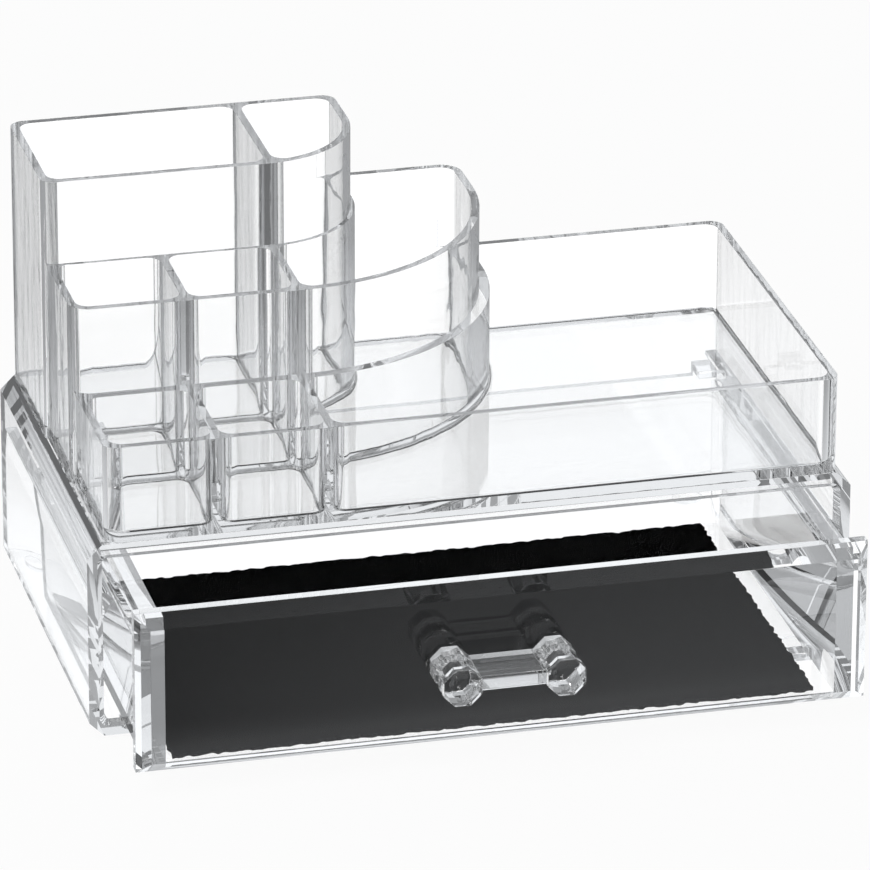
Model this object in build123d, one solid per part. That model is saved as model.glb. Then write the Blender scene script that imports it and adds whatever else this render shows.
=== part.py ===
from build123d import *
import os

# Clear countertop organiser: a stepped tray of cups that stands on a drawer case.
# Millimetres. X to the right, Y to the back, Z up. The front is at low Y.
# The case is laid out about its own middle, and origin_shift_y moves the whole
# object at the end, so that the origin is under the middle of its outline at rest.

# ---- case, the sleeve that the drawer slides in ----
case_width = 240.0
case_depth = 135.0
case_height = 63.5
case_side_wall = 5.0
case_top_plate = 3.4
case_floor_plate = 4.8
case_back_wall = 3.0
case_long_chamfer = 4.6
front_frame_depth = 5.0
front_lip_drop = 1.8
opening_bevel = 1.8
opening_corner = 1.5
foot_height = 1.5
foot_radius = 5.0
foot_side_inset = 16.0
foot_end_inset = 8.0
runner_edge = 1.2
runner_root = 8.6
runner_reach = 3.7
runner_top_drop = 16.6

# ---- drawer ----
rest_pull_out = 36.0
closed_proud = 2.5
panel_side_gap = 1.2
panel_top_gap = 0.6
panel_bottom_gap = 0.7
panel_bevel = 4.1
panel_land = 3.5
drawer_side_wall = 5.4
drawer_back_wall = 2.5
drawer_floor = 2.2
drawer_wall_drop = 4.1
drawer_back_drop = 2.0
drawer_inset = 4.0
closed_back_gap = 0.5
drawer_corner = 3.0
drawer_inner_corner = 2.5
flange_thickness = 2.5
flange_side_gap = 2.2
flange_front_gap = 1.0
runner_clearance = 0.3
stop_width = 6.0
stop_depth = 9.0
stop_thickness = 2.5
stop_height_gap = 0.4
stop_side_inset = 10.8

# ---- drawer liner ----
liner_thickness = 1.2
liner_left_gap = 2.0
liner_right_gap = 5.4
liner_front_gap = 1.5
liner_back_gap = 2.5
liner_corner = 2.0

# ---- handle ----
post_spacing = 32.1
handle_offset_x = -2.25
handle_rise = 1.2
post_width = 11.8
post_table = 7.0
post_rear_length = 6.0
post_groove_length = 4.8
post_groove_depth = 1.1
post_front_length = 7.0
post_bevel_length = 0.8
peg_radius = 2.4
peg_length = 3.0
peg_fit = 0.05
bar_height = 4.8
bar_depth = 16.3
bar_edge = 0.7
bar_panel_gap = 0.1
bar_spigot_radius = 1.6
bar_spigot_length = 3.0

# ---- stepped tray ----
tray_wall = 2.5
tray_floor = 2.2
tray_side_inset = 4.0
tray_corner = 4.5
tray_back_gap = 1.0
tray_seat_gap = 0.1
low_rim = 31.3
middle_rim = 59.0
high_rim = 86.0
tier_step_in = 0.9
middle_front = 42.5
high_front = 80.5
bow_centre_back = 21.5
high_bow_x = -45.0
middle_bow_x = -42.5
bow_back_corner = 7.0
long_divider_x = -44.0
cup_divider_x = -79.0
pocket_corner = 4.5
pocket_floor_round = 1.2
middle_ledge = 3.4
high_ledge = 1.4

# ---- places that follow from the sizes above ----
half_width = case_width / 2
front_y = -case_depth / 2
back_y = case_depth / 2
case_bottom_z = foot_height
case_top_z = foot_height + case_height
inner_half_width = half_width - case_side_wall
inner_floor_z = case_bottom_z + case_floor_plate
inner_top_z = case_top_z - case_top_plate
opening_top_z = inner_top_z - front_lip_drop
inner_back_y = back_y - case_back_wall
runner_top_z = case_top_z - runner_top_drop

panel_outline_y = front_y - closed_proud - rest_pull_out
panel_face_y = panel_outline_y - panel_bevel
panel_back_y = panel_outline_y + panel_land
panel_half_width = inner_half_width - panel_side_gap
panel_bottom_z = inner_floor_z + panel_bottom_gap
panel_top_z = opening_top_z - panel_top_gap
panel_middle_z = (panel_bottom_z + panel_top_z) / 2
drawer_half_width = panel_half_width - drawer_inset
drawer_back_y = inner_back_y - closed_back_gap - rest_pull_out
drawer_top_z = panel_top_z - drawer_wall_drop
drawer_back_top_z = panel_top_z - drawer_back_drop
drawer_floor_top_z = panel_bottom_z + drawer_floor
flange_bottom_z = runner_top_z + runner_clearance
flange_half_width = inner_half_width - flange_side_gap

post_groove_middle = post_rear_length + post_groove_length / 2
post_edge_distance = post_rear_length + post_groove_length + post_front_length
post_length = post_edge_distance + post_bevel_length
handle_z = panel_middle_z + handle_rise
handle_front_y = panel_face_y - post_length
origin_shift_y = -(handle_front_y + back_y) / 2

tray_base_z = case_top_z + tray_seat_gap
tray_floor_z = tray_base_z + tray_floor
tray_half_width = half_width - tray_side_inset
tray_back_y = back_y - tray_back_gap
low_rim_z = tray_base_z + low_rim
middle_rim_z = tray_base_z + middle_rim
high_rim_z = tray_base_z + high_rim
middle_front_y = front_y + middle_front
high_front_y = front_y + high_front
bow_centre_y = back_y - bow_centre_back
high_left_x = -tray_half_width
middle_left_x = high_left_x + tier_step_in
low_left_x = middle_left_x + tier_step_in
divider_left_x = long_divider_x - tray_wall / 2
divider_right_x = long_divider_x + tray_wall / 2
cups_end_x = cup_divider_x - tray_wall / 2
cups_start_x = cup_divider_x + tray_wall / 2


def block(x_low, x_high, y_low, y_high, z_low, z_high):
    """A box between two corners."""
    body = Box(x_high - x_low, y_high - y_low, z_high - z_low)
    return Pos((x_low + x_high) / 2, (y_low + y_high) / 2, (z_low + z_high) / 2) * body


def rounded_block(x_low, x_high, y_low, y_high, z_low, z_high, radius):
    """A box between two corners, with its four upright edges rounded."""
    plan = RectangleRounded(x_high - x_low, y_high - y_low, radius)
    column = extrude(plan, amount=z_high - z_low)
    return Pos((x_low + x_high) / 2, (y_low + y_high) / 2, z_low) * column


def rectangle(x_low, x_high, y_low, y_high):
    """A flat rectangle between two corners."""
    plan = Rectangle(x_high - x_low, y_high - y_low)
    return Pos((x_low + x_high) / 2, (y_low + y_high) / 2) * plan


def bow_plan(x_left, bow_x, radius, y_back):
    """A flat outline whose front right corner is one large quarter round.

    The round's centre is at (bow_x, bow_centre_y), and its front is the outline's front.
    """
    y_front = bow_centre_y - radius
    x_right = bow_x + radius
    outline = [
        Line((x_left, y_front), (bow_x, y_front)),
        CenterArc((bow_x, bow_centre_y), radius, -90, 90),
        Line((x_right, bow_centre_y), (x_right, y_back)),
        Line((x_right, y_back), (x_left, y_back)),
        Line((x_left, y_back), (x_left, y_front)),
    ]
    return make_face(Wire(outline))


def soft_column(plan, corner, z_low, z_high):
    """An upright column over a plan whose outer corners are rounded first."""
    shrunk = offset(plan, -corner, kind=Kind.INTERSECTION)
    softened = offset(shrunk, corner, kind=Kind.ARC)
    return Pos(0, 0, z_low) * extrude(softened, amount=z_high - z_low, dir=(0, 0, 1))


def octagon_stack(sections):
    """A faceted column along -Y, from (distance, width across flats) sections."""
    solid = None
    for (start, start_width), (end, end_width) in zip(sections, sections[1:]):
        ends = [
            Plane((0, -start, 0), x_dir=(1, 0, 0), z_dir=(0, -1, 0))
            * RegularPolygon(start_width / 2, 8, major_radius=False, rotation=22.5),
            Plane((0, -end, 0), x_dir=(1, 0, 0), z_dir=(0, -1, 0))
            * RegularPolygon(end_width / 2, 8, major_radius=False, rotation=22.5),
        ]
        step = loft(ends, ruled=True)
        solid = step if solid is None else solid + step
    return solid


# ---- case ----
def make_case_sleeve():
    """The outer sleeve: floor, top, sides and back in one moulding, open at the front."""
    profile = Rectangle(case_width, case_height)
    profile = chamfer(profile.vertices(), case_long_chamfer)
    middle_z = (case_bottom_z + case_top_z) / 2
    front_plane = Plane((0, back_y, middle_z), x_dir=(1, 0, 0), z_dir=(0, -1, 0))
    sleeve = extrude(front_plane * profile, amount=case_depth)
    sleeve -= block(
        -inner_half_width, inner_half_width,
        front_y + front_frame_depth, inner_back_y,
        inner_floor_z, inner_top_z,
    )
    sleeve -= make_front_opening()
    for side in (-1, 1):
        sleeve += make_runner(side)
    for x in (-half_width + foot_side_inset, half_width - foot_side_inset):
        for y in (front_y + foot_end_inset, back_y - foot_end_inset):
            sleeve += Pos(x, y, foot_height / 2) * Cylinder(foot_radius, foot_height)
    return sleeve


def make_front_opening():
    """The hole through the front frame, flared by a bevel at its front edge."""
    width = 2 * inner_half_width
    height = opening_top_z - inner_floor_z
    middle_z = (inner_floor_z + opening_top_z) / 2
    deep = front_y + front_frame_depth
    at_back = Plane((0, deep, middle_z), x_dir=(1, 0, 0), z_dir=(0, -1, 0))
    at_bevel = Plane((0, front_y + opening_bevel, middle_z), x_dir=(1, 0, 0), z_dir=(0, -1, 0))
    at_front = Plane((0, front_y, middle_z), x_dir=(1, 0, 0), z_dir=(0, -1, 0))
    hole = extrude(at_back * RectangleRounded(width, height, opening_corner), amount=front_frame_depth)
    inner_end = RectangleRounded(width, height, opening_corner)
    outer_end = RectangleRounded(
        width + 2 * opening_bevel, height + 2 * opening_bevel, opening_corner + opening_bevel
    )
    flare = loft([at_bevel * inner_end, at_front * outer_end], ruled=True)
    return hole + flare


def make_runner(side):
    """A rib along one inner side, flat on top, on which the drawer's flange slides."""
    wall_x = side * inner_half_width
    edge_x = side * (inner_half_width - runner_reach)
    rear = Plane((0, inner_back_y, 0), x_dir=(1, 0, 0), z_dir=(0, -1, 0))
    section = make_face(Polyline(
        (wall_x, runner_top_z),
        (edge_x, runner_top_z),
        (edge_x, runner_top_z - runner_edge),
        (wall_x, runner_top_z - runner_root),
        close=True,
    ))
    return extrude(rear * section, amount=inner_back_y - front_y - opening_bevel, dir=(0, -1, 0))


# ---- drawer ----
def make_drawer_box():
    """Floor, two sides with their runner flanges, and a taller back; open in front and on top."""
    box = rounded_block(
        -drawer_half_width, drawer_half_width,
        panel_back_y - drawer_corner, drawer_back_y,
        panel_bottom_z, drawer_top_z, drawer_corner,
    )
    box -= block(
        -drawer_half_width, drawer_half_width,
        panel_back_y - drawer_corner, panel_back_y,
        panel_bottom_z, drawer_top_z,
    )
    box -= rounded_block(
        -drawer_half_width + drawer_side_wall, drawer_half_width - drawer_side_wall,
        panel_back_y - drawer_inner_corner, drawer_back_y - drawer_back_wall,
        drawer_floor_top_z, drawer_top_z, drawer_inner_corner,
    )
    box += block(
        -drawer_half_width + drawer_corner, drawer_half_width - drawer_corner,
        drawer_back_y - drawer_back_wall, drawer_back_y,
        drawer_floor_top_z, drawer_back_top_z,
    )
    for side in (-1, 1):
        box += make_flange(side)
        box += make_stop(side)
    return box


def make_flange(side):
    """The strip along one drawer side that rides on the case's runner."""
    wall_x = side * (drawer_half_width - drawer_side_wall / 2)
    edge_x = side * flange_half_width
    return block(
        min(wall_x, edge_x), max(wall_x, edge_x),
        panel_back_y + flange_front_gap, drawer_back_y - drawer_corner,
        flange_bottom_z, flange_bottom_z + flange_thickness,
    )


def make_stop(side):
    """A lug on the drawer's back wall, which meets the front frame's lip when fully open."""
    middle_x = side * (drawer_half_width - stop_side_inset)
    top_z = inner_top_z - stop_height_gap
    upright = block(
        middle_x - stop_width / 2, middle_x + stop_width / 2,
        drawer_back_y - drawer_back_wall, drawer_back_y,
        drawer_top_z, top_z,
    )
    tongue = block(
        middle_x - stop_width / 2, middle_x + stop_width / 2,
        drawer_back_y - stop_depth, drawer_back_y,
        top_z - stop_thickness, top_z,
    )
    return upright + tongue


def make_drawer_front():
    """The thick clear front plate, bevelled on all four front edges."""
    width = 2 * panel_half_width
    height = panel_top_z - panel_bottom_z
    at_back = Plane((0, panel_back_y, panel_middle_z), x_dir=(1, 0, 0), z_dir=(0, -1, 0))
    at_outline = Plane((0, panel_outline_y, panel_middle_z), x_dir=(1, 0, 0), z_dir=(0, -1, 0))
    at_face = Plane((0, panel_face_y, panel_middle_z), x_dir=(1, 0, 0), z_dir=(0, -1, 0))
    plate = extrude(at_back * Rectangle(width, height), amount=panel_land)
    face = Rectangle(width - 2 * panel_bevel, height - 2 * panel_bevel)
    plate += loft([at_outline * Rectangle(width, height), at_face * face], ruled=True)
    for side in (-1, 1):
        hole_x = handle_offset_x + side * post_spacing / 2
        depth = peg_length + peg_fit
        hole = Rot(90, 0, 0) * Cylinder(peg_radius + peg_fit, depth)
        plate -= Pos(hole_x, panel_face_y + depth / 2, handle_z) * hole
    return plate


def make_drawer_liner():
    """The dark soft sheet laid in the drawer."""
    return rounded_block(
        -drawer_half_width + drawer_side_wall + liner_left_gap,
        drawer_half_width - drawer_side_wall - liner_right_gap,
        panel_back_y + liner_front_gap,
        drawer_back_y - drawer_back_wall - liner_back_gap,
        drawer_floor_top_z,
        drawer_floor_top_z + liner_thickness,
        liner_corner,
    )


# ---- handle ----
def make_handle_post(side):
    """An eight-sided cut post with a groove round its middle and a peg into the panel."""
    widths = [
        (0, post_width),
        (post_rear_length, post_width),
        (post_groove_middle, post_width - 2 * post_groove_depth),
        (post_rear_length + post_groove_length, post_width),
        (post_edge_distance, post_width),
        (post_length, post_table),
    ]
    post = octagon_stack(widths)
    post += Pos(0, peg_length / 2, 0) * Rot(90, 0, 0) * Cylinder(peg_radius, peg_length)
    depth = post_width / 2 + peg_fit
    socket_length = bar_spigot_length + peg_fit
    socket = Rot(0, 90, 0) * Cylinder(bar_spigot_radius + peg_fit, socket_length)
    post -= Pos(-side * (depth - socket_length / 2), -post_groove_middle, 0) * socket
    return Pos(handle_offset_x + side * post_spacing / 2, panel_face_y, handle_z) * post


def make_handle_bar():
    """The flat bar between the posts' side facets, with a round spigot at each end."""
    length = post_spacing - post_width
    near_y = panel_face_y - bar_panel_gap
    far_y = near_y - bar_depth
    bar = block(
        -length / 2, length / 2,
        far_y, near_y,
        handle_z - bar_height / 2, handle_z + bar_height / 2,
    )
    front_edges = bar.faces().sort_by(Axis.Y)[0].edges().filter_by(Axis.X)
    bar = chamfer(front_edges, bar_edge)
    spigots = Rot(0, 90, 0) * Cylinder(bar_spigot_radius, length + 2 * bar_spigot_length)
    bar += Pos(0, panel_face_y - post_groove_middle, handle_z) * spigots
    return Pos(handle_offset_x, 0, 0) * bar


# ---- stepped tray ----
def make_organiser_tray():
    """The moulded tray: a low tier, a middle tier and a high tier, each open at the top."""
    tray = rounded_block(
        low_left_x, tray_half_width, front_y, tray_back_y, tray_base_z, low_rim_z, tray_corner
    )
    tray += soft_column(middle_plan(0), bow_back_corner, tray_base_z, middle_rim_z)
    tray += soft_column(high_plan(0), tray_corner, tray_base_z, high_rim_z)
    for pocket in make_pockets():
        tray -= pocket
    return tray


def middle_plan(grow):
    """The middle tier's outline, with its front and its bow moved outwards by the given amount."""
    radius = bow_centre_y - middle_front_y + grow
    return bow_plan(middle_left_x, middle_bow_x, radius, tray_back_y)


def high_plan(grow):
    """The high tier's outline, with its front and its bow moved outwards by the given amount."""
    radius = bow_centre_y - high_front_y + grow
    return bow_plan(high_left_x, high_bow_x, radius, tray_back_y)


def make_pocket(plan, rim_z):
    """The hollow inside of one compartment, with round corners and a round floor edge."""
    column = soft_column(plan, pocket_corner, tray_floor_z, rim_z)
    floor = column.faces().sort_by(Axis.Z)[0]
    return fillet(floor.edges(), pocket_floor_round)


def make_pockets():
    """The hollow inside of every compartment."""
    inside_back = tray_back_y - tray_wall
    high_cup = rectangle(
        high_left_x + tray_wall, divider_left_x, high_front_y + tray_wall, inside_back
    )
    pockets = [make_pocket(high_cup, high_rim_z)]
    tiers = [
        (middle_left_x, middle_front_y, high_front_y - high_ledge, middle_rim_z),
        (low_left_x, front_y, middle_front_y - middle_ledge, low_rim_z),
    ]
    for left_x, tier_front, tier_back, rim_z in tiers:
        for x_low, x_high in ((left_x + tray_wall, cups_end_x), (cups_start_x, divider_left_x)):
            cup = rectangle(x_low, x_high, tier_front + tray_wall, tier_back)
            pockets.append(make_pocket(cup, rim_z))
    right = rectangle(divider_right_x, tray_half_width - tray_wall, front_y + tray_wall, inside_back)
    high_bow = bow_plan(
        high_left_x, high_bow_x, bow_centre_y - high_front_y - tray_wall, inside_back
    )
    middle_bow = bow_plan(
        middle_left_x, middle_bow_x, bow_centre_y - middle_front_y - tray_wall, inside_back
    )
    pockets.append(make_pocket(high_bow & right, high_rim_z))
    pockets.append(make_pocket((middle_bow & right) - high_plan(high_ledge), middle_rim_z))
    pockets.append(make_pocket(right - middle_plan(middle_ledge), low_rim_z))
    return pockets


def save(solid, name):
    """Write one sub-part, moved to the object's own origin."""
    placed = Pos(0, origin_shift_y, 0) * solid
    placed.label = name
    export_step(placed, f"parts/{name}.step")


os.makedirs("parts", exist_ok=True)
save(make_case_sleeve(), "case_sleeve")
save(make_organiser_tray(), "organiser_tray")
save(make_drawer_box(), "drawer_box")
save(make_drawer_front(), "drawer_front")
save(make_drawer_liner(), "drawer_liner")
save(make_handle_bar(), "handle_bar")
for post_name, post_side in (("handle_post_left", -1), ("handle_post_right", 1)):
    save(make_handle_post(post_side), post_name)
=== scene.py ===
"""Looks for a clear brush holder with a drawer.

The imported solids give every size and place. This file gives the pieces their softened edges,
their finishes, the liner's cut edge, and a plain pale studio.
"""

import logging
import math
from dataclasses import dataclass
from enum import Enum
from typing import Any

import bmesh
import bpy
from mathutils import Matrix, Vector


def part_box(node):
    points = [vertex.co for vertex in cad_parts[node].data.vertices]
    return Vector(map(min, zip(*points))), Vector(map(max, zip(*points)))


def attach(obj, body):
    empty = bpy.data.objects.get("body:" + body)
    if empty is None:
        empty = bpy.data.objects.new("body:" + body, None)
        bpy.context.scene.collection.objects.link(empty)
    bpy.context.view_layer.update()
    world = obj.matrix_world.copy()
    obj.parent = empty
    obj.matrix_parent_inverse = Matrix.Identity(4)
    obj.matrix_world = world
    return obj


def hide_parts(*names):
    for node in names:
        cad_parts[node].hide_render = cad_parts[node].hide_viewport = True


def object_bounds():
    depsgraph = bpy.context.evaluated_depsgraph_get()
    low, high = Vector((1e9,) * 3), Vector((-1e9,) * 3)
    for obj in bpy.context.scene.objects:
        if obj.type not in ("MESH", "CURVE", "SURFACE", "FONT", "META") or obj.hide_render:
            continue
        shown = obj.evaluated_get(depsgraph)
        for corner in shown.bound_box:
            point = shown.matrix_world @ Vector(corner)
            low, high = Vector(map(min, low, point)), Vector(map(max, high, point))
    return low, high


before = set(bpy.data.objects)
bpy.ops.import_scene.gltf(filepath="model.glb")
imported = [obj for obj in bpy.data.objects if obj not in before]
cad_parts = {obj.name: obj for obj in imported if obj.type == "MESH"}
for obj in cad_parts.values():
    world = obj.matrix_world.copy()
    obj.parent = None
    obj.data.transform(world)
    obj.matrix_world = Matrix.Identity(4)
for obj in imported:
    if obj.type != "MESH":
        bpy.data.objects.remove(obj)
CAD_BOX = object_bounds()
LOG = logging.getLogger("brush_holder")
MILLIMETRE = 0.001

Triple = tuple[float, float, float]
Stops = tuple[tuple[float, float], ...]
WHITE: Triple = (1.0, 1.0, 1.0)


class Body(Enum):
    """The moving groups of the object."""

    CASE = "case"
    DRAWER = "drawer"
    TRAY = "tray"


class Slot(Enum):
    """The finishes that the record names."""

    CASE = "case_clear"
    TRAY = "tray_clear"
    DRAWER = "drawer_clear"
    FRONT = "front_clear"
    LINER = "liner_dark"
    HANDLE = "handle_clear"


@dataclass(frozen=True)
class Cloud:
    """A smooth random pattern.

    Its size is in features to a metre, its detail in finer layers, and its stretch says how much
    denser it is along X, Y and Z.
    """

    size: float
    detail: float
    stretch: Triple = (1.0, 1.0, 1.0)


class Wire:
    """A number inside a node tree, on which Python's arithmetic adds Math nodes."""

    def __init__(self, bench: "Bench", socket: bpy.types.NodeSocket | None) -> None:
        """Keep the socket that carries the number.

        Args:
            bench: the tree that new Math nodes go into.
            socket: the output that carries the number, or None after a last node.
        """
        self.bench = bench
        self.socket = socket

    def _math(self, operation: str, first: "Wire | float", second: "Wire | float") -> "Wire":
        """Return the result of one Math node on two numbers or wires."""
        return self.bench.node(
            "ShaderNodeMath", {"operation": operation}, {0: first, 1: second}
        )

    def __add__(self, other: "Wire | float") -> "Wire":
        """Return self + other."""
        return self._math("ADD", self, other)

    def __radd__(self, other: "Wire | float") -> "Wire":
        """Return other + self."""
        return self._math("ADD", other, self)

    def __sub__(self, other: "Wire | float") -> "Wire":
        """Return self - other."""
        return self._math("SUBTRACT", self, other)

    def __rsub__(self, other: "Wire | float") -> "Wire":
        """Return other - self."""
        return self._math("SUBTRACT", other, self)

    def __mul__(self, other: "Wire | float") -> "Wire":
        """Return self * other."""
        return self._math("MULTIPLY", self, other)

    def __rmul__(self, other: "Wire | float") -> "Wire":
        """Return other * self."""
        return self._math("MULTIPLY", other, self)

    def __pow__(self, other: "Wire | float") -> "Wire":
        """Return self to the power of other."""
        return self._math("POWER", self, other)

    def __rpow__(self, other: "Wire | float") -> "Wire":
        """Return other to the power of self."""
        return self._math("POWER", other, self)

    def __abs__(self) -> "Wire":
        """Return self without its sign."""
        return self._math("ABSOLUTE", self, 0.0)

    def left_over(self, other: "Wire | float") -> "Wire":
        """Return what is left when self is divided by other."""
        return self._math("MODULO", self, other)

    def above(self, other: "Wire | float") -> "Wire":
        """Return 1 where self is above other, and 0 elsewhere."""
        return self._math("GREATER_THAN", self, other)

    def at_most(self, other: "Wire | float") -> "Wire":
        """Return the smaller of self and other."""
        return self._math("MINIMUM", self, other)

    def at_least(self, other: "Wire | float") -> "Wire":
        """Return the larger of self and other."""
        return self._math("MAXIMUM", self, other)


class Bench:
    """A node tree being written, for a material, a mesh or the world."""

    def __init__(self, tree: bpy.types.NodeTree) -> None:
        """Start with an empty tree.

        Args:
            tree: the tree of a material, of a modifier or of the world.
        """
        self.tree = tree
        self.tree.nodes.clear()

    def node(
        self,
        kind: str,
        settings: dict[str, Any] | None = None,
        inputs: dict[int | str, Any] | None = None,
        output: int | str = 0,
    ) -> Wire:
        """Add one node, set it up, then join or fill its sockets.

        Args:
            kind: the node's type.
            settings: attributes set first, such as an operation or a ramp's stops.
            inputs: a value, a wire or a list of wires, by the socket's name or number.
            output: the name or number of the output to return.

        Returns:
            The chosen output as a wire.
        """
        made = self.tree.nodes.new(kind)
        for name, value in (settings or {}).items():
            if name == "stops":
                self._set_stops(made.color_ramp, value)
            else:
                setattr(made, name, value)
        for key, value in (inputs or {}).items():
            socket = made.inputs[key]
            wires = value if isinstance(value, list) else [value]
            if not isinstance(wires[0], Wire):
                socket.default_value = value
                continue
            for wire in wires:
                self.tree.links.new(wire.socket, socket)
        return Wire(self, made.outputs[output] if made.outputs else None)

    @staticmethod
    def _set_stops(ramp: bpy.types.ColorRamp, stops: Stops) -> None:
        """Fill a ramp with grey stops.

        Args:
            ramp: the ramp to fill.
            stops: the place and the level of each stop.
        """
        while len(ramp.elements) > 1:
            ramp.elements.remove(ramp.elements[-1])
        for index, (place, level) in enumerate(stops):
            element = ramp.elements[0] if index == 0 else ramp.elements.new(place)
            element.position = place
            element.color = (level, level, level, 1.0)

    def noise(self, cloud: Cloud) -> Wire:
        """Add a random pattern on object coordinates.

        Args:
            cloud: the pattern's size, detail and stretch.

        Returns:
            The pattern's value, from 0 to 1.
        """
        place = self.node("ShaderNodeTexCoord", output="Object")
        spread = self.node("ShaderNodeMapping", {}, {"Vector": place, "Scale": cloud.stretch})
        return self.node(
            "ShaderNodeTexNoise",
            {},
            {"Vector": spread, "Scale": cloud.size, "Detail": cloud.detail},
            "Fac",
        )

    def colours(self, share: Wire, first: Triple, second: Triple) -> Wire:
        """Mix two colours.

        Args:
            share: the second colour's share, from 0 to 1.
            first: the colour at 0.
            second: the colour at 1.

        Returns:
            The mixed colour.
        """
        return self.node(
            "ShaderNodeMix",
            {"data_type": "RGBA"},
            {0: share, 6: (*first, 1.0), 7: (*second, 1.0)},
            2,
        )

    def bump(self, height: Wire, depth: float) -> Wire:
        """Return a normal raised by height, where 1 is depth in metres."""
        return self.node(
            "ShaderNodeBump", {}, {"Height": height, "Distance": depth, "Strength": 1.0}
        )

    def along(self, vector: Wire, axis: str) -> Wire:
        """Return a vector's X, Y or Z."""
        return self.node("ShaderNodeSeparateXYZ", {}, {0: vector}, axis)

    def ray(self, fact: str) -> Wire:
        """Return a fact about the ray that arrives, such as Is Camera Ray."""
        return self.node("ShaderNodeLightPath", output=fact)

    def ramp(self, place: Wire, stops: Stops) -> Wire:
        """Return the level that a ramp of stops has at a place from 0 to 1."""
        return self.node("ShaderNodeValToRGB", {"stops": stops}, {0: place}, "Color")

    def between(self, value: Wire, start: float, end: float, first: float, last: float) -> Wire:
        """Follow a straight line between two levels, which holds at both ends.

        Args:
            value: the number that the line is read at.
            start: the value at which the line starts.
            end: the value at which it ends.
            first: the level at its start.
            last: the level at its end.

        Returns:
            The level at value.
        """
        inputs = {
            "Value": value,
            "From Min": start,
            "From Max": end,
            "To Min": first,
            "To Max": last,
        }
        return self.node("ShaderNodeMapRange", {}, inputs)


def new_material(name: str) -> tuple[bpy.types.Material, Bench]:
    """Start an empty material.

    Args:
        name: the material's name.

    Returns:
        The material, and the bench to write its nodes on.
    """
    material = bpy.data.materials.new(name)
    material.use_nodes = True
    return material, Bench(material.node_tree)


@dataclass(frozen=True)
class ClearAcrylic:
    """Polished clear plastic with the faint unevenness of a moulding.

    The flow waves its upright faces, wave_depth in metres at most, and the finer ripple adds
    ripple_share of that. Level faces are smooth.
    """

    name: str
    wave_depth: float
    tint: Triple = WHITE
    tint_deep: Triple = (0.99, 0.993, 0.995)
    index: float = 1.49
    roughness: float = 0.004
    haze: float = 0.012
    flow: Cloud = Cloud(25.0, 3.0, (1.0, 1.0, 0.2))
    ripple: Cloud = Cloud(80.0, 2.0, (1.0, 1.0, 0.4))
    ripple_share: float = 0.22
    specks: Cloud = Cloud(350.0, 2.0)

    def make(self) -> bpy.types.Material:
        """Build the material.

        Returns:
            The finished material.
        """
        material, bench = new_material(self.name)
        flow = bench.noise(self.flow)
        facing = bench.node("ShaderNodeNewGeometry", output="True Normal")
        upright = 1.0 - abs(bench.along(facing, "Z"))
        wave = (flow + self.ripple_share * bench.noise(self.ripple)) * upright
        surface = bench.node(
            "ShaderNodeBsdfPrincipled",
            {},
            {
                "Base Color": bench.colours(flow, self.tint, self.tint_deep),
                "Roughness": self.roughness + self.haze * (flow * bench.noise(self.specks)),
                "Normal": bench.bump(wave, self.wave_depth),
                "IOR": self.index,
                "Transmission Weight": 1.0,
            },
        )
        bench.node("ShaderNodeOutputMaterial", {}, {"Surface": surface})
        return material


@dataclass(frozen=True)
class SoftSheet:
    """A dark matt sheet with a short nap, in slightly uneven patches."""

    name: str
    dark: Triple = (0.0028, 0.0028, 0.003)
    light: Triple = (0.008, 0.008, 0.0085)
    grain: Cloud = Cloud(2600.0, 4.0)
    grain_depth: float = 0.00025
    grain_share: float = 0.6
    patches: Cloud = Cloud(38.0, 3.0)
    roughness: float = 0.86
    roughness_spread: float = 0.12
    gloss: float = 0.15

    def make(self) -> bpy.types.Material:
        """Build the material.

        Returns:
            The finished material.
        """
        material, bench = new_material(self.name)
        grain = bench.noise(self.grain)
        patches = bench.noise(self.patches)
        shade = grain * self.grain_share + patches * (1.0 - self.grain_share)
        surface = bench.node(
            "ShaderNodeBsdfPrincipled",
            {},
            {
                "Base Color": bench.colours(shade, self.dark, self.light),
                "Roughness": self.roughness + self.roughness_spread * grain,
                "Normal": bench.bump(grain, self.grain_depth),
                "Specular IOR Level": self.gloss,
            },
        )
        bench.node("ShaderNodeOutputMaterial", {}, {"Surface": surface})
        return material


@dataclass(frozen=True)
class EdgeFinish:
    """How the outer edges of a clear piece are eased, in millimetres and degrees.

    The edges of its upward faces are eased by rim_width and the rest by other_width. The whole
    skin is held back a little, which keeps clear of its neighbours' skins.
    """

    rim_width: float
    other_width: float
    steps: int
    sharper_than: float = 32.0
    held_back: float = 0.012


MOULDED = EdgeFinish(rim_width=1.12, other_width=0.45, steps=4)
CASE_EDGE = EdgeFinish(rim_width=0.5, other_width=0.5, steps=3)
POLISHED = EdgeFinish(rim_width=0.22, other_width=0.22, steps=2, sharper_than=15.0)

# How far the moulded tray's faces wave, and those of the flatter pieces, in metres.
TRAY_WAVE = 0.0004
FLAT_WAVE = 0.00002


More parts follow.
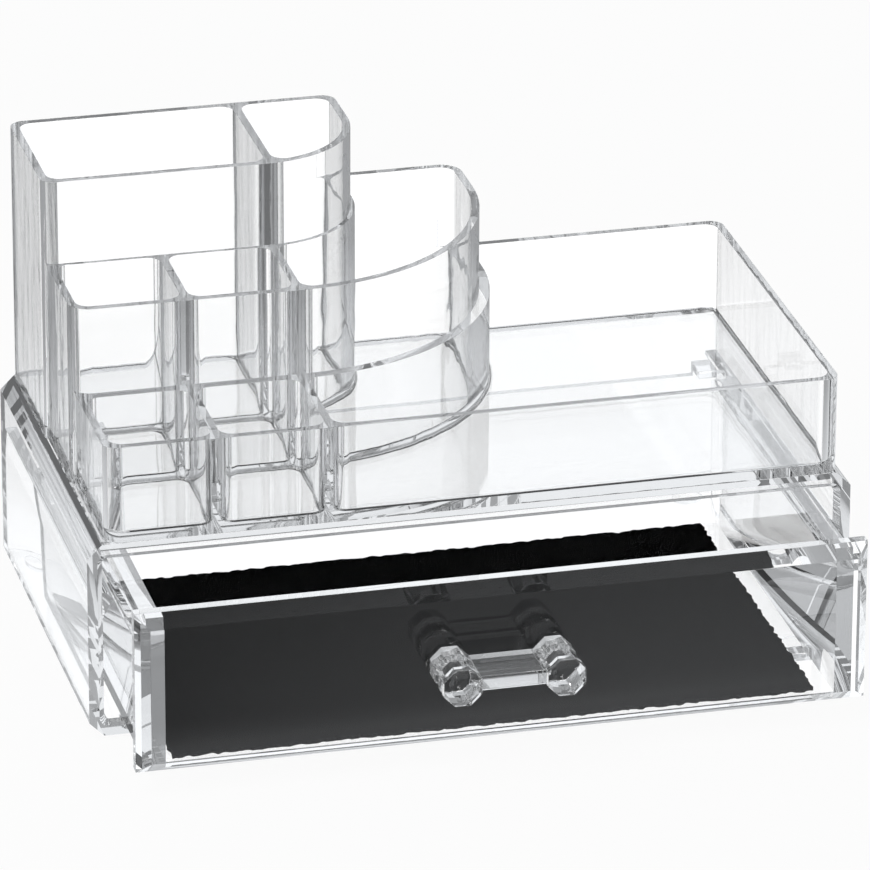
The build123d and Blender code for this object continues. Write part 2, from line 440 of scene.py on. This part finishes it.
@dataclass
class ClearPiece:
    """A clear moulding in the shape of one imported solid, with its outer edges eased.

    Corners within corners_join millimetres are joined, and facets within flat_within degrees are
    one flat. A face whose normal rises above level_above is level.
    """

    node: str
    body: Body
    slot: Slot
    edge: EdgeFinish
    finish: ClearAcrylic
    corners_join: float = 0.002
    flat_within: float = 0.4
    level_above: float = 0.99
    normal_weight: int = 90

    def build(self) -> bpy.types.Object:
        """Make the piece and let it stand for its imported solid.

        Returns:
            The piece that shows.
        """
        mesh = self._joined_mesh()
        piece = bpy.data.objects.new(self.node + "_eased", mesh)
        bpy.context.scene.collection.objects.link(piece)
        bevel = piece.modifiers.new("eased_edges", "BEVEL")
        bevel.limit_method = "WEIGHT"
        bevel.width = self.edge.rim_width * MILLIMETRE
        bevel.segments = self.edge.steps
        bevel.use_clamp_overlap = True
        even = piece.modifiers.new("even_normals", "WEIGHTED_NORMAL")
        even.keep_sharp = True
        even.weight = self.normal_weight
        mesh.materials.append(self.finish.make())
        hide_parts(self.node)
        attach(piece, self.body.value)
        return piece

    def _joined_mesh(self) -> bpy.types.Mesh:
        """Copy the solid's mesh with its corners joined and its flats whole.

        Returns:
            The copy, with the edges to ease marked on it.
        """
        mesh = bpy.data.meshes.new(self.node + "_eased")
        work = bmesh.new()
        work.from_mesh(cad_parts[self.node].data)
        join = self.corners_join * MILLIMETRE
        bmesh.ops.remove_doubles(work, verts=work.verts, dist=join)
        flat = math.radians(self.flat_within)
        bmesh.ops.dissolve_limit(work, angle_limit=flat, verts=work.verts, edges=work.edges)
        work.normal_update()
        offsets = [vert.normal * self.edge.held_back * MILLIMETRE for vert in work.verts]
        for vert, offset in zip(work.verts, offsets):
            vert.co -= offset
        self._mark_edges(work)
        for face in work.faces:
            face.smooth = True
        work.to_mesh(mesh)
        work.free()
        return mesh

    def _mark_edges(self, work: bmesh.types.BMesh) -> None:
        """Weigh each outer edge for its easing, and keep each inner edge crisp.

        Args:
            work: the mesh, which is changed.
        """
        weight = work.edges.layers.float.new("bevel_weight_edge")
        sharper = math.radians(self.edge.sharper_than)
        for edge in work.edges:
            if len(edge.link_faces) != 2 or edge.calc_face_angle(0.0) <= sharper:
                continue
            if edge.is_convex:
                at_rim = any(face.normal.z > self.level_above for face in edge.link_faces)
                edge[weight] = 1.0 if at_rim else self.edge.other_width / self.edge.rim_width
            else:
                edge.smooth = False


@dataclass
class CutLiner:
    """The dark sheet in the drawer, with the uneven edge that a hand cut leaves.

    Lengths are in millimetres and the sizes of the two patterns in features to a metre. The cut
    wanders slowly and frays finely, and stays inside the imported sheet's box.
    """

    node: str
    finish: SoftSheet
    step: float = 0.45
    margin: float = 0.5
    wander: float = 0.8
    wander_size: float = 60.0
    fray: float = 3.6
    fray_size: float = 330.0
    cut_detail: float = 1.0
    corner: float = 0.4
    corner_points: int = 2
    lift: float = 0.02
    points_join: float = 0.001
    seed: int = 7

    def build(self) -> bpy.types.Object:
        """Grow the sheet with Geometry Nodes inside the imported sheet's box.

        Returns:
            The piece that shows.
        """
        sizes = self._sizes()
        tree = self._tree(tuple(sizes), self.finish.make())
        start = bpy.data.meshes.new("liner_start")
        grower = bpy.data.objects.new("liner_grower", start)
        bpy.context.scene.collection.objects.link(grower)
        modifier = grower.modifiers.new("sheet", "NODES")
        modifier.node_group = tree
        for item in tree.interface.items_tree:
            if item.in_out == "INPUT":
                modifier[item.identifier] = sizes[item.name]
        ready = grower.evaluated_get(bpy.context.evaluated_depsgraph_get())
        mesh = bpy.data.meshes.new_from_object(ready)
        mesh.name = "liner_sheet"
        bpy.data.objects.remove(grower)
        piece = bpy.data.objects.new("liner_sheet", mesh)
        bpy.context.scene.collection.objects.link(piece)
        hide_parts(self.node)
        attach(piece, Body.DRAWER.value)
        return piece

    def _sizes(self) -> dict[str, float]:
        """Work out what the node group is given.

        Returns:
            Each input's value by its name, with lengths in metres.
        """
        low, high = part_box(self.node)
        return {
            "Middle X": (low[0] + high[0]) / 2,
            "Middle Y": (low[1] + high[1]) / 2,
            "Base Z": low[2] + self.lift * MILLIMETRE,
            "Width": high[0] - low[0],
            "Depth": high[1] - low[1],
            "Margin": self.margin * MILLIMETRE,
            "Thickness": high[2] - low[2] - 2.0 * self.lift * MILLIMETRE,
            "Step": self.step * MILLIMETRE,
            "Wander": self.wander * MILLIMETRE,
            "Wander Size": self.wander_size,
            "Fray": self.fray * MILLIMETRE,
            "Fray Size": self.fray_size,
            "Corner": self.corner * MILLIMETRE,
            "Seed": float(self.seed),
        }

    def _tree(self, names: tuple[str, ...], material: bpy.types.Material) -> bpy.types.NodeTree:
        """Write the node group that grows the sheet.

        Args:
            names: the names of its inputs.
            material: the finish that the sheet is given.

        Returns:
            The node group.
        """
        tree = bpy.data.node_groups.new("cut_sheet", "GeometryNodeTree")
        bench = Bench(tree)
        for name in names:
            tree.interface.new_socket(name, in_out="INPUT", socket_type="NodeSocketFloat")
        tree.interface.new_socket("Sheet", in_out="OUTPUT", socket_type="NodeSocketGeometry")
        given = {name: bench.node("NodeGroupInput", output=name) for name in names}
        outline = bench.node(
            "GeometryNodeCurvePrimitiveQuadrilateral",
            {},
            {
                "Width": given["Width"] - 2.0 * given["Margin"],
                "Height": given["Depth"] - 2.0 * given["Margin"],
            },
        )
        rounded = bench.node(
            "GeometryNodeFilletCurve",
            {"mode": "POLY"},
            {"Curve": outline, "Radius": given["Corner"], "Count": self.corner_points},
        )
        dotted = bench.node(
            "GeometryNodeResampleCurve",
            {"mode": "LENGTH"},
            {"Curve": rounded, "Length": given["Step"]},
        )
        cut = self._cut(bench, given)
        wavy = bench.node("GeometryNodeSetPosition", {}, {"Geometry": dotted, "Position": cut})
        filled = bench.node("GeometryNodeFillCurve", {}, {"Curve": wavy})
        solid = self._thickened(bench, filled, given)
        real = bench.node("GeometryNodeRealizeInstances", {}, {"Geometry": solid})
        dressed = bench.node(
            "GeometryNodeSetMaterial", {}, {"Geometry": real, "Material": material}
        )
        bench.node("NodeGroupOutput", {}, {"Sheet": dressed})
        return tree

    def _cut(self, bench: Bench, given: dict[str, Wire]) -> Wire:
        """Work out where the outline's points lie along the uneven cut.

        Args:
            bench: the tree to write in.
            given: the group's inputs by name.

        Returns:
            Each point's place on the level of the outline.
        """
        place = bench.node("GeometryNodeInputPosition")
        cut_x, cut_y = (bench.along(place, axis) for axis in "XY")
        for reach, size in (("Wander", "Wander Size"), ("Fray", "Fray Size")):
            cloud = bench.node(
                "ShaderNodeTexNoise",
                {"noise_dimensions": "4D"},
                {
                    "Vector": place,
                    "W": given["Seed"],
                    "Scale": given[size],
                    "Detail": self.cut_detail,
                },
                "Color",
            )
            cut_x = cut_x + (bench.along(cloud, "X") - 0.5) * given[reach]
            cut_y = cut_y + (bench.along(cloud, "Y") - 0.5) * given[reach]
        cut_x = self._kept_within(cut_x, given["Width"] * 0.5) + given["Middle X"]
        cut_y = self._kept_within(cut_y, given["Depth"] * 0.5) + given["Middle Y"]
        return bench.node("ShaderNodeCombineXYZ", {}, {"X": cut_x, "Y": cut_y})

    def _thickened(self, bench: Bench, filled: Wire, given: dict[str, Wire]) -> Wire:
        """Raise the flat sheet into a closed solid at its place.

        Args:
            bench: the tree to write in.
            filled: the flat sheet.
            given: the group's inputs by name.

        Returns:
            The solid sheet.
        """
        lift = bench.node("ShaderNodeCombineXYZ", {}, {"Z": given["Base Z"]})
        bottom = bench.node("GeometryNodeSetPosition", {}, {"Geometry": filled, "Offset": lift})
        up = bench.node("ShaderNodeCombineXYZ", {}, {"Z": given["Thickness"]})
        raised = bench.node(
            "GeometryNodeExtrudeMesh",
            {"mode": "FACES"},
            {"Mesh": bottom, "Offset": up, "Offset Scale": 1.0, "Individual": False},
        )
        turned = bench.node("GeometryNodeFlipFaces", {}, {"Mesh": bottom})
        both = bench.node("GeometryNodeJoinGeometry", {}, {0: [turned, raised]})
        join = self.points_join * MILLIMETRE
        return bench.node("GeometryNodeMergeByDistance", {}, {"Geometry": both, "Distance": join})

    @staticmethod
    def _kept_within(place: Wire, reach: Wire) -> Wire:
        """Return place, held between -reach and reach."""
        return place.at_most(reach).at_least(reach * -1.0)


@dataclass
class Studio:
    """The floor, the light and the camera. Places are in metres and turns in radians."""

    # The camera's place and turn were fitted to the case's corners in an 870 x 870 picture.
    picture_width: float = 870.0
    focal_pixels: float = 7669.919
    sensor_width: float = 36.0
    yaw: float = 0.247614645
    pitch: float = 0.409796049
    roll: float = 0.003878922
    eye: Triple = (-0.533676, -2.100188, 1.015100)
    sees_from: float = 0.05
    sees_to: float = 50.0

    # The floor keeps a share of its own matt white, in which the shadow lies.
    floor_reach: float = 1.6
    floor_drop: float = 0.0002
    floor_white: float = 0.95
    floor_share: float = 0.95

    # Painted shade: thrown back by clear walls, the floor is darker far from the object, and in
    # front of it, where its level goes from front_left to front_right across the object.
    near_level: float = 1.0
    near_reach: float = 0.10
    far_level: float = 0.3
    far_reach: float = 0.34
    front_left: float = 0.22
    front_right: float = 0.6
    front_start: float = -0.085
    front_end: float = -0.12

    # Painted shade: each turn inside clear walls costs some light, and an even number of turns
    # more. Painted light: straight through, the floor is brighter, which makes up for what each
    # wall throws back.
    turn_loss: float = 0.96
    turn_least: float = 0.84
    even_share: float = 0.42
    clear_gain: float = 1.22
    cool: Triple = (0.955, 0.975, 1.0)
    light_turns: int = 40

    # Around the object, a stop is a place and a level. Heights go from the horizon at 0 to
    # straight up at 1, and sideways goes from the front at 0 to the back at 1.
    overhead: Stops = ((0.0, 0.0), (0.75, 0.0), (0.9, 0.2), (1.0, 0.4))
    sideways: Stops = ((0.0, 0.7), (0.25, 0.55), (0.45, 0.4), (0.64, 0.4), (0.78, 1.1), (1.0, 1.1))
    rising: Stops = ((0.0, 1.0), (0.4, 1.0), (0.55, 0.35), (1.0, 0.35))
    lamp_power: float = 9.0
    lamp_width: float = 1.0
    lamp_place: Triple = (-0.8, -0.5, 1.5)

    def make(self) -> None:
        """Place the camera, lay the floor and set up the light."""
        self._make_camera()
        self._make_floor()
        self._let_light_through()
        self._make_surroundings()
        self._make_lamp()

    def _make_camera(self) -> None:
        """Place the camera."""
        data = bpy.data.cameras.new("camera")
        data.sensor_width = self.sensor_width
        data.lens = self.focal_pixels * self.sensor_width / self.picture_width
        data.clip_start = self.sees_from
        data.clip_end = self.sees_to
        camera = bpy.data.objects.new("camera", data)
        ahead = Vector(
            (
                math.sin(self.yaw) * math.cos(self.pitch),
                math.cos(self.yaw) * math.cos(self.pitch),
                -math.sin(self.pitch),
            )
        )
        right = Vector((math.cos(self.yaw), -math.sin(self.yaw), 0.0))
        up = right.cross(ahead)
        turned_right = math.cos(self.roll) * right + math.sin(self.roll) * up
        turned_up = -math.sin(self.roll) * right + math.cos(self.roll) * up
        rows = zip(turned_right, turned_up, -ahead, Vector(self.eye))
        camera.matrix_world = Matrix([list(row) for row in rows] + [[0.0, 0.0, 0.0, 1.0]])
        bpy.context.scene.collection.objects.link(camera)
        bpy.context.scene.camera = camera

    def _make_floor(self) -> None:
        """Lay the pale floor."""
        reach = self.floor_reach
        mesh = bpy.data.meshes.new("floor")
        corners = [(x * reach, y * reach, 0.0) for x, y in ((-1, -1), (1, -1), (1, 1), (-1, 1))]
        mesh.from_pydata(corners, [], [(0, 1, 2, 3)])
        floor = bpy.data.objects.new("floor", mesh)
        floor.location.z = -self.floor_drop
        bpy.context.scene.collection.objects.link(floor)
        mesh.materials.append(self._floor_finish())

    def _floor_finish(self) -> bpy.types.Material:
        """Write a white floor that keeps a faint shadow, with painted shade and painted light on
        the rays that clear walls send to it.

        Returns:
            The finished material.
        """
        material, bench = new_material("floor_white")
        matt = bench.node(
            "ShaderNodeBsdfDiffuse", {}, {"Color": (self.floor_white,) * 3 + (1.0,)}
        )
        # Painted shade: rays that clear walls threw back see the floor cooler and darker.
        turned = self._turned(bench)
        plain = 1.0 - turned * (1.0 - self._painted_mirror_shade(bench))
        # Painted light: rays through clear walls see the floor brighter than the camera does.
        gain = self.clear_gain - bench.ray("Is Camera Ray") * (self.clear_gain - 1.0)
        bright = bench.node(
            "ShaderNodeEmission",
            {},
            {
                "Color": bench.colours(turned, WHITE, self.cool),
                "Strength": plain * self._painted_turn_shade(bench) * gain,
            },
        )
        seen = bench.ray("Is Camera Ray").at_least(bench.ray("Is Glossy Ray"))
        seen = seen.at_least(bench.ray("Is Transmission Ray"))
        surface = bench.node(
            "ShaderNodeMixShader", {}, {0: seen * self.floor_share, 1: matt, 2: bright}
        )
        bench.node("ShaderNodeOutputMaterial", {}, {"Surface": surface})
        return material

    def _painted_mirror_shade(self, bench: Bench) -> Wire:
        """Work out the painted shade of the floor where clear walls throw it back.

        Args:
            bench: the floor's material.

        Returns:
            The level, lower away from the object and in front of it.
        """
        place = bench.node("ShaderNodeTexCoord", output="Object")
        low, high = CAD_BOX
        front_level = bench.between(
            bench.along(place, "X"), low[0], high[0], self.front_left, self.front_right
        )
        front = bench.between(
            bench.along(place, "Y"), self.front_start, self.front_end, 0.0, 1.0
        )
        away = bench.node("ShaderNodeVectorMath", {"operation": "LENGTH"}, {0: place}, "Value")
        around = bench.between(
            away, self.near_reach, self.far_reach, self.near_level, self.far_level
        )
        return around * (1.0 - front * (1.0 - front_level))

    @staticmethod
    def _turned(bench: Bench) -> Wire:
        """Return 1 on a ray that clear walls have thrown back, and 0 elsewhere."""
        return bench.ray("Glossy Depth").above(0.5)

    def _painted_turn_shade(self, bench: Bench) -> Wire:
        """Work out the painted shade of a ray's turns inside clear walls: how much light is left.

        Args:
            bench: the tree to write in.

        Returns:
            The share that is left, which is 1 without a turn.
        """
        turns = bench.ray("Glossy Depth")
        left = (self.turn_loss ** (turns - 1.0).at_least(0.0)).at_least(self.turn_least)
        even = self._turned(bench) * (1.0 - turns.left_over(2.0))
        return left * (1.0 - even * (1.0 - self.even_share))

    def _let_light_through(self) -> None:
        """Let light go on through many clear walls."""
        cycles = bpy.context.scene.cycles
        cycles.max_bounces = self.light_turns
        cycles.glossy_bounces = self.light_turns
        cycles.transmission_bounces = self.light_turns
        cycles.transparent_max_bounces = self.light_turns

    def _make_surroundings(self) -> None:
        """Put soft light all round the object, and white behind it where the camera looks past."""
        world = bpy.data.worlds.new("studio")
        bpy.context.scene.world = world
        world.use_nodes = True
        bench = Bench(world.node_tree)
        direction = bench.node("ShaderNodeTexCoord", output="Generated")
        height = bench.along(direction, "Z")
        backward = bench.along(direction, "Y") * 0.5 + 0.5
        beside = bench.ramp(backward, self.sideways) * bench.ramp(height, self.rising)
        # Painted shade: rays that have turned inside clear walls see the surroundings darker.
        level = bench.ramp(height, self.overhead).at_least(beside) * self._painted_turn_shade(bench)
        around, plain = (
            bench.node("ShaderNodeBackground", {}, {"Color": (*colour, 1.0), "Strength": strength})
            for colour, strength in ((self.cool, level), (WHITE, 1.0))
        )
        surface = bench.node(
            "ShaderNodeMixShader", {}, {0: bench.ray("Is Camera Ray"), 1: around, 2: plain}
        )
        bench.node("ShaderNodeOutputWorld", {}, {"Surface": surface})

    def _make_lamp(self) -> None:
        """Hang one broad lamp, turned to the object."""
        lamp = bpy.data.lights.new("broad_lamp", "AREA")
        lamp.energy = self.lamp_power
        lamp.size = self.lamp_width
        hung = bpy.data.objects.new("broad_lamp", lamp)
        hung.location = self.lamp_place
        hung.rotation_euler = Vector(self.lamp_place).to_track_quat("Z", "Y").to_euler()
        bpy.context.scene.collection.objects.link(hung)


def piece_makers() -> list[ClearPiece | CutLiner]:
    """List what makes each piece.

    Returns:
        The makers, in the order in which the pieces are built.
    """
    clear = (
        ("case_sleeve", Body.CASE, Slot.CASE, CASE_EDGE, FLAT_WAVE),
        ("organiser_tray", Body.TRAY, Slot.TRAY, MOULDED, TRAY_WAVE),
        ("drawer_box", Body.DRAWER, Slot.DRAWER, CASE_EDGE, FLAT_WAVE),
        ("drawer_front", Body.DRAWER, Slot.FRONT, POLISHED, FLAT_WAVE),
        ("handle_post_left", Body.DRAWER, Slot.HANDLE, POLISHED, FLAT_WAVE),
        ("handle_post_right", Body.DRAWER, Slot.HANDLE, POLISHED, FLAT_WAVE),
        ("handle_bar", Body.DRAWER, Slot.HANDLE, POLISHED, FLAT_WAVE),
    )
    makers = [
        ClearPiece(node, body, slot, edge, ClearAcrylic(node + "_clear", wave))
        for node, body, slot, edge, wave in clear
    ]
    return [*makers, CutLiner("drawer_liner", SoftSheet("liner_dark"))]


def main() -> None:
    """Build the studio, then each piece in order, and report each piece."""
    logging.basicConfig(level=logging.INFO, format="%(name)s: %(message)s")
    bpy.context.scene.view_settings.view_transform = "Standard"
    Studio().make()
    for maker in piece_makers():
        piece = maker.build()
        LOG.info("%s: %d faces", piece.name, len(piece.data.polygons))


if __name__ == "__main__":
    main()
